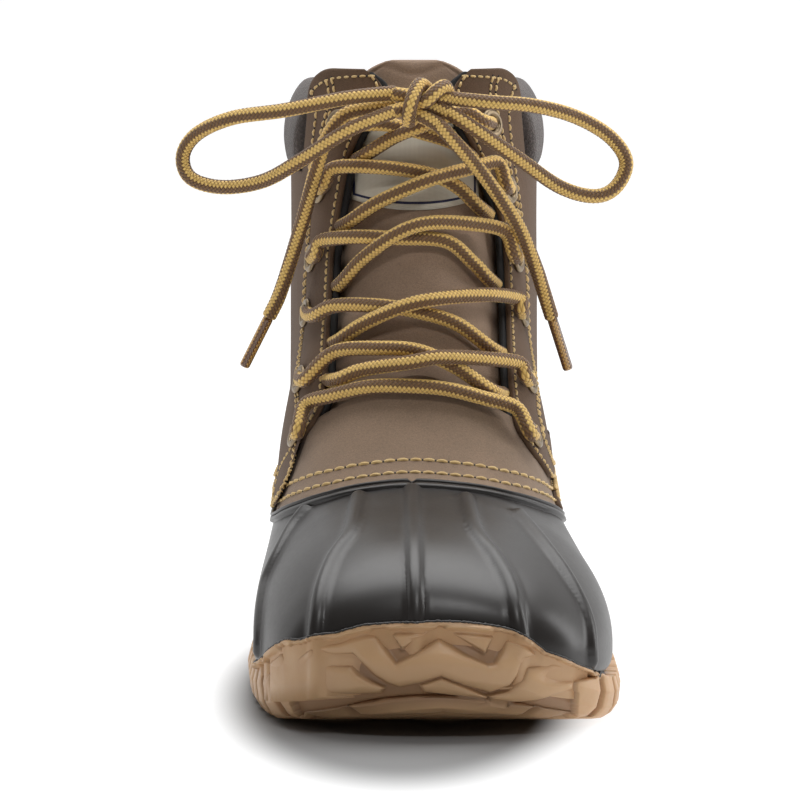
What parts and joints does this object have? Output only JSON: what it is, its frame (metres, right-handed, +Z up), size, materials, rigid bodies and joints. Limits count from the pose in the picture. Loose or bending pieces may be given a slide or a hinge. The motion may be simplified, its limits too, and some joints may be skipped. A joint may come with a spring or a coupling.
{
  "type": "duck boot",
  "caption": "Lace-up duck boot: moulded rubber shell on a lugged gum sole, leather shaft with padded collar, tongue, eyelets and a tied round lace.",
  "frame": {"origin": "on the floor under the middle of the boot's bounding box, without the bow", "axes": "+Z up, toe along -Y and heel along +Y, +X towards the inner side of the right foot"},
  "size_m": [0.1371, 0.278, 0.1778],
  "materials": {
    "gum": "matte gum rubber",
    "shell_rubber": "satin brown-black moulded rubber",
    "nubuck": "matte brown nubuck",
    "collar_suede": "grey padded suede",
    "label_weave": "plain off-white woven patch",
    "lining": "brushed knit lining",
    "eyelet_brass": "pale antique brass",
    "lace": "braided round cord, gold and brown",
    "aglet": "clear film over the cord"
  },
  "bodies": {
    "root": {"outsole": "gum", "shell": "shell_rubber", "upper": "nubuck", "collar": "collar_suede", "tongue": "nubuck", "tongue_label": "label_weave", "insole": "lining", "eyelet_outer_1": "eyelet_brass", "eyelet_outer_2": "eyelet_brass", "eyelet_outer_3": "eyelet_brass", "eyelet_outer_4": "eyelet_brass", "eyelet_outer_5": "eyelet_brass", "eyelet_outer_6": "eyelet_brass", "eyelet_inner_1": "eyelet_brass", "eyelet_inner_2": "eyelet_brass", "eyelet_inner_3": "eyelet_brass", "eyelet_inner_4": "eyelet_brass", "eyelet_inner_5": "eyelet_brass", "eyelet_inner_6": "eyelet_brass", "lace_bar": "lace", "lace_crossing_1": "lace", "lace_crossing_2": "lace", "lace_crossing_3": "lace", "lace_crossing_4": "lace", "lace_crossing_5": "lace", "lace_knot": "lace", "lace_loop_outer": "lace", "lace_loop_inner": "lace", "lace_tail_outer": "lace", "lace_tail_inner": "lace", "lace_aglet_outer": "aglet", "lace_aglet_inner": "aglet"}
  },
  "joints": []
}
